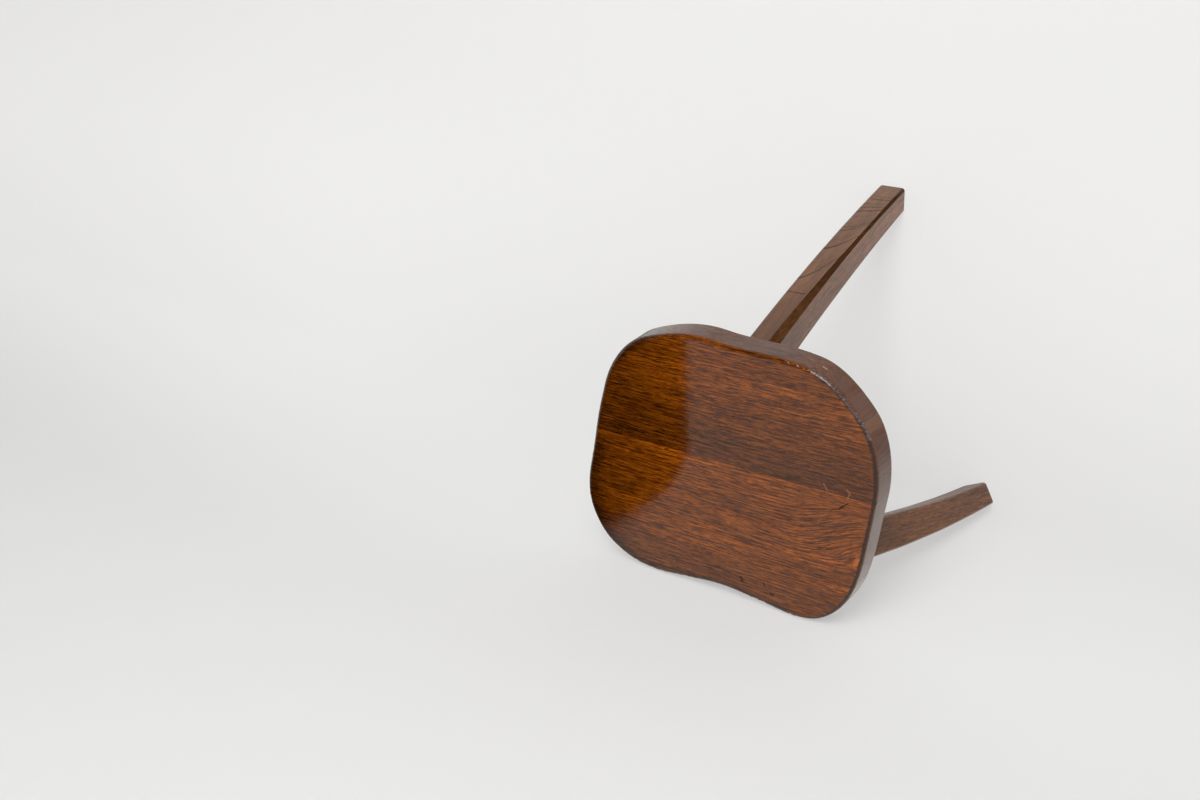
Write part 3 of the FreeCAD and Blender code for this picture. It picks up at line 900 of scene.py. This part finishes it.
# Pale, for the scar and for the painted highlight on a facet
SCAR_AND_HIGHLIGHT_TONE = (0.42, 0.25, 0.15, 1.0)
BAND_STRAY = 0.03
LEFT_END = (0.03, 0.2, 1.0, 0.7)
DUSK_SHADE = 0.4


def band_tones(tree, place, tone, bands):
    """Broad tones across a board: bands are (Y in metres, brightness)."""
    sideways = parts_of(tree, place)["Y"]
    sideways = maths(tree, "MULTIPLY_ADD", maths(tree, "SUBTRACT", tone, 0.5), BAND_STRAY, sideways)
    low = bands[0][0]
    span = bands[-1][0] - low
    share = maths(tree, "DIVIDE", maths(tree, "SUBTRACT", sideways, low), span)
    node = put(tree, "ValToRGB", {"Fac": share})
    stops = node.color_ramp.elements
    while len(stops) < len(bands):
        stops.new(0.5)
    for stop, (position, brightness) in zip(stops, bands):
        stop.position = (position - low) / span
    for stop, (position, brightness) in zip(stops, bands):
        stop.color = (brightness, brightness, brightness, 1.0)
    return node.outputs["Color"]


def shade(tree, colour, factor, mask=1.0):
    """Make a colour darker or lighter by a factor, where a mask says so."""
    grey = put(tree, "CombineXYZ", dict.fromkeys("XYZ", factor)).outputs["Vector"]
    return blend(tree, mask, colour, grey, "MULTIPLY")


def finish_rim(tree, place, marks, colour):
    """Stain of the rim, its end grain and scrapes, the scar with a painted highlight, and the edge. Also masks of
    the rim and underside.
    """
    masks = put(tree, "Group", {"Place": place}, node_tree=seat_rim).outputs
    rim = masks["Rim"]
    colour = blend(tree, product(tree, rim, 0.5), colour, RIM_TONE)
    across = product(tree, rim, masks["End Grain"])
    colour = blend(tree, product(tree, across, 0.75), colour, END_TONE)
    colour = shade(tree, colour, ramp(tree, masks["Scrapes"], 0.0, 1.0, 0.75, 1.25), across)
    # The pale scar, and a painted highlight where a facet of the rim catches the light
    colour = blend(tree, product(tree, marks["Scar And Highlight"], rim), colour, SCAR_AND_HIGHLIGHT_TONE)
    colour = blend(tree, product(tree, masks["Stain"], 0.9), colour, EDGE_TONE)
    return colour, rim, masks["Underside"]


def finish_seat(tree, place, tone, marks, bands, colour):
    """All that is laid over the seat's grain. Also a mask of the bare underside."""
    colour = blend(tree, 1.0, colour, band_tones(tree, place, tone, bands), "MULTIPLY")
    colour = shade(tree, colour, ramp(tree, parts_of(tree, place)["X"], *LEFT_END))
    colour = shade(tree, colour, DUSK_SHADE, marks["Dusk"])
    colour = blend(tree, product(tree, marks["Light"], 0.45), colour, FLECK_TONE)
    colour, rim, bare = finish_rim(tree, place, marks, colour)
    # Painted reflection: a greyish strip with pale glints, standing in for light caught by lumpy lacquer along one
    # corner
    above = product(tree, marks["Glint Strip"], maths(tree, "SUBTRACT", 1.0, rim))
    glint_colour = blend(tree, marks["Glints"], GLINT_STRIP_TONE, GLINT_TONE)
    return blend(tree, product(tree, above, 0.75), colour, glint_colour), bare


# %% [markdown]
# Every leg gets painted shade just under the seat: its colour darkens toward the top. The single leg has more
# to show: its side faces are paler and more open in the grain, its outer face has the arched lines and one
# dark streak across it, and the drawknife's flat has a streaky colour of its own.

# %% The finish of the legs
LINE_TONE = (*LEG_LOOK["dark"], 1.0)
SIDE_TINT = (1.34, 1.20, 1.10, 1.0)
SIDE_PORES = 0.6
STREAK_TONE = (0.035, 0.008, 0.003, 1.0)
LEG_STREAK = [(0.000, 0.2638, -0.0140, 0.2646, 0.0007), (-0.0140, 0.2646, -0.0270, 0.2637, 0.0009)]
FLAT_TONE = (0.066, 0.026, 0.008, 1.0)
FLAT_LOW_TONE = (0.030, 0.011, 0.004, 1.0)
FLAT_TURNS = (0.20, 0.32)
FLAT_STREAKS = (420.0, 420.0, 22.0)
# Painted shade under the seat: a leg's colour darkens toward its top
SHADE_UNDER_SEAT = (0.20, 0.40, 1.0, 0.58)


def finish_side(tree, name, pores, colour):
    """The side faces of a leg: paler, with darker pores."""
    side = leg_frame(name)[1]
    facing = maths(tree, "ABSOLUTE", vector_maths(tree, "DOT_PRODUCT", surface_normal(tree), side))
    beside = ramp(tree, facing, 0.6, 0.9)
    colour = blend(tree, beside, colour, SIDE_TINT, "MULTIPLY")
    return blend(tree, product(tree, beside, pores, SIDE_PORES), colour, LINE_TONE)


def finish_flat(tree, place, height, colour):
    """The streaky colour of the drawknife's flat, amber above and dark brown toward the foot."""
    on_flat = put(tree, "Attribute", attribute_name="flat").outputs["Fac"]
    gathered = blend(tree, ramp(tree, height, *FLAT_TURNS), FLAT_LOW_TONE, FLAT_TONE)
    streaky = ramp(tree, noise(tree, place, FLAT_STREAKS, 2.0, 0.6), 0.36, 0.64, 0.6, 1.35)
    return blend(tree, product(tree, on_flat, 0.8), colour, shade(tree, gathered, streaky))


def finish_leg(tree, place, name, pores, colour):
    """All that is laid over a leg's grain. Also a mask of what dulls its lacquer."""
    parts = parts_of(tree, place)
    # Painted shade just under the seat
    colour = shade(tree, colour, ramp(tree, parts["Z"], *SHADE_UNDER_SEAT))
    if name != "leg_front":
        return colour, 0.0
    colour = finish_side(tree, name, pores, colour)
    arches = put(tree, "Group", {"Place": place}, node_tree=arched_lines).outputs
    colour = blend(tree, arches["Arches"], colour, LINE_TONE)
    upright = put(tree, "CombineXYZ", {"X": parts["X"], "Y": parts["Z"]}).outputs["Vector"]
    streak = product(tree, strokes(tree, upright, LEG_STREAK, 0.0), arches["Outer Face"])
    colour = blend(tree, streak, colour, STREAK_TONE)
    colour = finish_flat(tree, place, parts["Z"], colour)
    return colour, strongest(tree, arches["Arches"], streak)


# %% [markdown]
# Each plank has its place in its own tree, so the grain's group is given coordinates that are turned and
# moved to it. Its masks are then turned into colour. The stain is deep and warm, nearly amber where nothing
# is mirrored in it.


# %% Grain and stain
def plank_axes(grain, width):
    """Rows of the turn from object coordinates to plank coordinates."""
    grain = Vector(grain).normalized()
    width = Vector(width)
    width = (width - grain * width.dot(grain)).normalized()
    return Matrix((grain, width, grain.cross(width)))


def grain_of(tree, followed, axes, heart, look):
    """The outputs of the grain's group, turned so that the rings run round heart."""
    turned = {"Vector": followed, "Location": -(axes @ Vector(heart)), "Rotation": axes.to_euler()}
    inputs = {"Plank": put(tree, "Mapping", turned).outputs["Vector"], "Ring Width": look["ring"],
              "Wander": look["wander"], "Ripple": look["ripple"], "Line Share": look["share"],
              "Breaks": look["breaks"]}
    return put(tree, "Group", inputs, node_tree=oak_grain).outputs


def stained(tree, grain, look):
    """The colour of the stained grain: bundles of fibres, then broad tones, growth lines and pores."""
    deep, bright, dark = ((*look[key], 1.0) for key in ("deep", "bright", "dark"))
    colour = blend(tree, ramp(tree, grain["Fibres"], 0.37, 0.63), deep, bright)
    colour = shade(tree, colour, ramp(tree, grain["Tone"], 0.30, 0.70, 1 - look["broad"], 1 + look["broad"]))
    colour = blend(tree, product(tree, grain["Lines"], look["lines"]), colour, dark)
    return blend(tree, product(tree, grain["Pores"], look["pores"]), colour, dark)


# %% [markdown]
# A clear coat on top does the mirroring, as lacquer does: it thins over pores and dark marks, and the bare
# underside has none. Bump is left for the pores and cracks alone.

# %% Oak, the material
LACQUER = {"Coat Roughness": 0.06, "Coat IOR": 1.5, "Specular IOR Level": 0.0}
ROUGH_DRIFT = 0.12
BARE_ROUGHER = 0.3
DARK_THINS = 0.8
LINES_THIN = 0.5
CRACK_DEPTH = 2.0
BUMP = {"Strength": 0.25, "Distance": 0.0003}


def oak(name, axes, heart, look, bands=None):
    """Lacquered oak whose rings run round a line through heart, along the first of the axes."""
    material, tree, shader = new_material(name)
    for socket, value in LACQUER.items():
        shader.inputs[socket].default_value = value
    shader.inputs["Coat Weight"].default_value = look["coat"]
    place = put(tree, "TexCoord").outputs["Object"]
    marks = put(tree, "Group", {"Place": place}, node_tree=seat_marks).outputs if bands else None
    grain = grain_of(tree, marks["Turned"] if bands else place, axes, heart, look)
    colour = stained(tree, grain, look)
    film = maths(tree, "MULTIPLY_ADD", grain["Pores"], -look["sunk"], look["coat"])
    film = product(tree, film, ramp(tree, grain["Sheen"], 0.0, 1.0, look["dull"], 1.0))
    rough = ramp(tree, grain["Tone"], 0.3, 0.7, look["rough"], look["rough"] + ROUGH_DRIFT)
    height = grain["Height"]

    # What only the seat or only a leg has
    if bands:
        colour, bare = finish_seat(tree, place, grain["Tone"], marks, bands, colour)
        colour = blend(tree, marks["Dark"], colour, (*look["dark"], 1.0))
        rough = maths(tree, "MULTIPLY_ADD", bare, BARE_ROUGHER, rough)
        film = product(tree, film, maths(tree, "SUBTRACT", 1.0, bare),
                       maths(tree, "MULTIPLY_ADD", marks["Dark"], -DARK_THINS, 1.0))
        height = maths(tree, "SUBTRACT", height, product(tree, marks["Dark"], CRACK_DEPTH))
    if name in LEGS:
        colour, dulled = finish_leg(tree, place, name, grain["Pores"], colour)
        film = product(tree, film, maths(tree, "MULTIPLY_ADD", dulled, -LINES_THIN, 1.0))
    tree.links.new(colour, shader.inputs["Base Color"])
    if look["coat"]:
        tree.links.new(film, shader.inputs["Coat Weight"])
    tree.links.new(rough, shader.inputs["Roughness"])
    bump = put(tree, "Bump", {"Height": height, **BUMP})
    tree.links.new(bump.outputs["Normal"], shader.inputs["Normal"])
    return material


# %% [markdown]
# Every plank came from its own tree, so each has its own heart. A seat board lies along X, with its heart
# well off it. A leg's grain runs up the plank and leans outward, as the leg does. The hidden wedges and
# dowels are plain, unfinished oak.

# %% Dress every piece
SEAT_AXES = plank_axes((1, 0, 0), (0, 1, 0))
SEAT_PLANKS = {
    "seat_strip_front": ((1.3, -0.30, 0.28), SEAT_LOOK, [(-0.155, 0.82), (-0.14, 0.92), (-0.117, 0.85)]),
    "seat_board_front": ((2.1, 0.12, 0.26), WAVY_LOOK,
                         [(-0.117, 1.02), (-0.085, 0.96), (-0.075, 0.90), (-0.03, 0.60), (0.004, 0.58)]),
    "seat_board_back": ((3.7, -0.14, 0.24), SEAT_LOOK,
                        [(0.004, 1.25), (0.03, 1.1), (0.06, 0.95), (0.09, 1.2), (0.122, 1.1), (0.1251, 0.5)]),
    "seat_strip_back": ((5.2, 0.35, 0.30), SEAT_LOOK, [(0.125, 1.2), (0.15, 0.95), (0.193, 0.8)]),
}
# Look, outward lean of the grain, and how far the heart is off sideways, inward and along the grain
LEG_PLANKS = {
    "leg_front": (ARCHED_LOOK, -0.28, 0.0033, 0.0337, 0.45),
    "leg_back_left": (LEG_LOOK, -0.33, -0.030, 0.12, 0.65),
    "leg_back_right": (LEG_LOOK, -0.28, 0.012, 0.10, 0.70),
}
HIDDEN = ("wedge_front", "wedge_back_left", "wedge_back_right", "seat_dowels")


def dress(piece, material):
    """Give a piece one material all over."""
    piece.data.materials.clear()
    piece.data.materials.append(material)


for name, (heart, look, bands) in SEAT_PLANKS.items():
    dress(worked[name], oak(name, SEAT_AXES, heart, look, bands))
for name, (look, lean, offset, depth, start) in LEG_PLANKS.items():
    out, side = leg_frame(name)
    low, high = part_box(name)
    foot = (low + high) / 2
    foot.z = 0
    along_grain = Vector((0, 0, 1)) + out * lean
    heart = foot + side * offset - out * depth + along_grain * start
    dress(worked[name], oak(name, plank_axes(along_grain, side), heart, look))
bare_wood = oak("bare_wood", SEAT_AXES, (0.5, 0.2, 0.3), BARE_LOOK)
for name in HIDDEN:
    dress(nodes[name], bare_wood)
print("materials:", sorted(material.name for material in bpy.data.materials))

# %% [markdown]
# A pale studio. Lacquer shows what it mirrors, so the world is white to glossy rays, with a few darker zones
# that keep the reflections off some faces, each named for where it is. To the camera it is pale, and to all
# other rays a plain grey light.

# %% World
PALE = (0.80, 0.797, 0.785, 1.0)
SOFT_LIGHT = (0.62, 0.62, 0.62, 1.0)
MIRRORED_WHITE = (0.90, 0.90, 0.87, 1.0)
MIRRORED_DARK = (0.03, 0.028, 0.026, 1.0)
MIRRORED_SHADE = (0.50, 0.49, 0.47, 1.0)
MIRRORED_UNDER = (0.32, 0.30, 0.29, 1.0)
world = bpy.data.worlds.new("studio")
bpy.context.scene.world = world
world.use_nodes = True
world_tree = world.node_tree
rays = put(world_tree, "LightPath").outputs
heading = parts_of(world_tree, put(world_tree, "TexCoord").outputs["Generated"])


def zone(*limits):
    """Part of the world: each limit is an axis, where it starts, and where it is full."""
    parts = [ramp(world_tree, heading[axis], start, full) for axis, start, full in limits]
    return product(world_tree, 1.0, *parts)


ceiling = zone(("X", -0.05, 0.15), ("Y", -0.35, -0.60), ("Z", -0.15, 0.15))
front = zone(("X", -0.05, 0.15), ("Y", 0.10, -0.05), ("Z", 0.30, 0.50))
low_front = zone(("X", -0.34, -0.42), ("Y", -0.38, -0.46), ("Z", -0.86, -0.76), ("Z", -0.30, -0.45))
low_side = zone(("X", -0.40, -0.58), ("Y", -0.35, -0.15), ("Z", -0.45, -0.65))
under = zone(("X", 0.10, 0.30), ("Y", 0.05, 0.25), ("Z", -0.55, -0.75))
mirrored = blend(world_tree, low_side, MIRRORED_WHITE, MIRRORED_SHADE)
mirrored = blend(world_tree, under, mirrored, MIRRORED_UNDER)
mirrored = blend(world_tree, strongest(world_tree, ceiling, front, low_front), mirrored, MIRRORED_DARK)
seen = blend(world_tree, rays["Is Glossy Ray"], SOFT_LIGHT, mirrored)
seen = blend(world_tree, rays["Is Camera Ray"], seen, PALE)
world_tree.links.new(seen, world_tree.nodes["Background"].inputs["Color"])
print("world:", world.name, "with", len(world_tree.nodes), "nodes")

# %% [markdown]
# Two sheets of pale paper make the backdrop. The stool stands on one, and the other rises behind its pair of
# legs, leaning against the seat. Toward the crease where they meet, both take on one and the same look, so
# the crease doesn't show. Part of each sheet's brightness is plain glow to the camera, which keeps its
# shadows light, and from behind the sheets are clear.

# %% Paper
BEHIND_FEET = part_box("leg_back_left")[1].y + 0.001
LEAN = math.atan2(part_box("leg_back_left")[1].y - SEAT_BACK, SEAT_TOP)
# Each paper has its direction, its pale glow and the share of it that is lit
FLOOR_PAPER = (Vector((0, 0, 1)), (0.84, 0.835, 0.825, 1.0), 0.3)
WALL_PAPER = (Vector((0, -math.cos(LEAN), -math.sin(LEAN))), (0.65, 0.65, 0.64, 1.0), 0.48)
CREASE = (((FLOOR_PAPER[0] + WALL_PAPER[0]) / 2).normalized(), (0.825, 0.822, 0.812, 1.0), 0.39)
CREASE_BLEND = 0.7
# Painted light: the glow is made dimmer toward -X and brighter toward +X near the crease, to even out the lamps
GLOW_ALONG = (-0.8, 0.3, 0.94, 1.0)
GLOW_AT_CREASE = (0.2, 1.2, 1.0, 1.18)


def backdrop(name, paper, crease):
    """Pale paper, clear from behind, that takes on the crease's look near the crease's own Y."""
    material, tree, shader = new_material(name)
    tree.nodes.remove(shader)
    parts = parts_of(tree, put(tree, "TexCoord").outputs["Object"])
    away = maths(tree, "ABSOLUTE", maths(tree, "SUBTRACT", parts["Y"], crease))
    near = ramp(tree, away, 0.0, CREASE_BLEND, 1.0, 0.0)
    mixed = put(tree, "Mix", {0: near, 4: paper[0], 5: CREASE[0]}, data_type="VECTOR").outputs[1]
    normal = vector_maths(tree, "NORMALIZE", mixed)
    lit = put(tree, "BsdfDiffuse", {"Color": PALE, "Normal": normal}).outputs["BSDF"]
    # Painted light along X: dimmer toward -X, and brighter toward +X near the crease
    glow = shade(tree, blend(tree, near, paper[1], CREASE[1]), ramp(tree, parts["X"], *GLOW_ALONG))
    glow = shade(tree, glow, ramp(tree, parts["X"], *GLOW_AT_CREASE), near)
    plain = put(tree, "Emission", {"Color": glow}).outputs["Emission"]
    unlit = maths(tree, "MULTIPLY_ADD", near, paper[2] - CREASE[2], 1 - paper[2])
    unlit = product(tree, put(tree, "LightPath").outputs["Is Camera Ray"], unlit)
    surface = put(tree, "MixShader", {0: unlit, 1: lit, 2: plain}).outputs["Shader"]
    clear = put(tree, "BsdfTransparent").outputs["BSDF"]
    behind = put(tree, "NewGeometry").outputs["Backfacing"]
    surface = put(tree, "MixShader", {0: behind, 1: surface, 2: clear}).outputs["Shader"]
    tree.links.new(surface, tree.nodes["Material Output"].inputs["Surface"])
    return material


# %% [markdown]
# Each sheet is one large plane. Neither shows in the lacquer, because the world already stands in for it
# there.

# %% The two sheets
FLOOR_SIZE = 12.0


def sheet_of_paper(name, place, turn, material):
    """A large square plane that no reflection shows."""
    bpy.ops.object.select_all(action="DESELECT")
    bpy.ops.mesh.primitive_plane_add(size=FLOOR_SIZE, location=place, rotation=turn)
    sheet = bpy.context.object
    sheet.name = name
    sheet.visible_glossy = False
    dress(sheet, material)


sheet_of_paper("floor", (0, 0, 0), (0, 0, 0), backdrop("floor_paper", FLOOR_PAPER, BEHIND_FEET))
sheet_of_paper("wall", (0, BEHIND_FEET, 0), (math.pi / 2 + LEAN, 0, 0), backdrop("wall_paper", WALL_PAPER, 0.0))
print("wall leans by", round(math.degrees(LEAN), 2), "degrees")

# %% [markdown]
# Two soft lamps: a key light before the single leg, and a weak long one overhead.


# %% Lamps
def area_light(name, place, aim, wide, high, watts):
    """A soft light of a given width and height that points at aim."""
    data = bpy.data.lights.new(name, "AREA")
    data.shape = "RECTANGLE"
    data.size = wide
    data.size_y = high
    data.energy = watts
    lamp = add_object(name, data)
    lamp.location = place
    lamp.rotation_euler = (Vector(aim) - Vector(place)).to_track_quat("-Z", "Y").to_euler()
    return lamp


key = area_light("key", (-0.5, -2.0, 1.9), (0, 0, 0.3), 1.2, 1.2, 34)
overhead = area_light("overhead", (-0.62, -1.10, 2.25), (-0.15, -0.12, 0.42), 1.6, 0.5, 9)
print("lamps:", key.name, key.data.energy, overhead.name, overhead.data.energy)

# %% [markdown]
# One dark card to the left of the camera lets the stain's own deep amber show over the left end of the seat.
# It is seen only as a reflection. Its outline is drawn on the seat, where the amber ends, and carried out
# along the mirrored rays. An outer ring of points is fully clear and the inner ring fully dark, so the edge
# of the amber is soft, and softest near the front corner.

# %% The dark card
SEAT_MIDDLE = Vector((0, 0, SEAT_TOP))
CARD_AWAY = 0.9
CARD_FAR = 0.42
CARD_SLANT = 0.7
# X and Y on the seat, and half the width of the soft edge there
CARD_EDGE = [(0.047, -0.30, 0.003), (0.047, 0.0, 0.003), (0.059, 0.031, 0.003), (0.075, 0.060, 0.004),
             (0.102, 0.088, 0.006), (0.130, 0.117, 0.011), (0.160, 0.143, 0.017), (0.30, 0.23, 0.02)]
lens_image = Vector((CAMERA_PLACE.x, CAMERA_PLACE.y, 2 * SEAT_TOP - CAMERA_PLACE.z))


def card_point(x, y):
    """Where the card must be for the seat to mirror it at x, y."""
    point = Vector((x, y, SEAT_TOP))
    heading = (SEAT_MIDDLE - lens_image).normalized()
    ray = point - lens_image
    return point + ray * ((SEAT_MIDDLE - point).dot(heading) + CARD_AWAY) / ray.dot(heading)


points, covers, faces = [], [], []
for x, y, soft in CARD_EDGE:
    inner_y = y - soft * CARD_SLANT
    points += [card_point(x - soft, y + soft * CARD_SLANT), card_point(x + soft, inner_y)]
    points += [card_point(CARD_FAR, inner_y)]
    covers += [0.0, 1.0, 1.0]
for first in range(0, len(points) - 3, 3):
    faces += [(first, first + 1, first + 4, first + 3), (first + 1, first + 2, first + 5, first + 4)]
card_mesh = bpy.data.meshes.new("dark_card")
card_mesh.from_pydata(points, [], faces)
card_mesh.attributes.new("cover", "FLOAT", "POINT").data.foreach_set("value", covers)
card = add_object("dark_card", card_mesh)
card.visible_camera = False
card.visible_diffuse = False
card.visible_shadow = False
print("card points:", len(points), "faces:", len(faces))

# %% [markdown]
# The card is black felt, which mirrors nothing. Its cover, from clear to dark, is read off its points.

# %% Black felt
FELT_BLACK = (0.002, 0.002, 0.002, 1.0)
black, black_tree, felt = new_material("black_card")
felt.inputs["Base Color"].default_value = FELT_BLACK
felt.inputs["Specular IOR Level"].default_value = 0.0
cover = put(black_tree, "Attribute", attribute_name="cover").outputs["Fac"]
black_tree.links.new(ramp(black_tree, cover, 0.0, 1.0), felt.inputs["Alpha"])
dress(card, black)
print("material:", black.name, "with", len(black_tree.nodes), "nodes")

# %% [markdown]
# The stain's colours are written as they should look, so the view transform is Standard.

# %% View settings and the end
bpy.context.scene.view_settings.view_transform = "Standard"
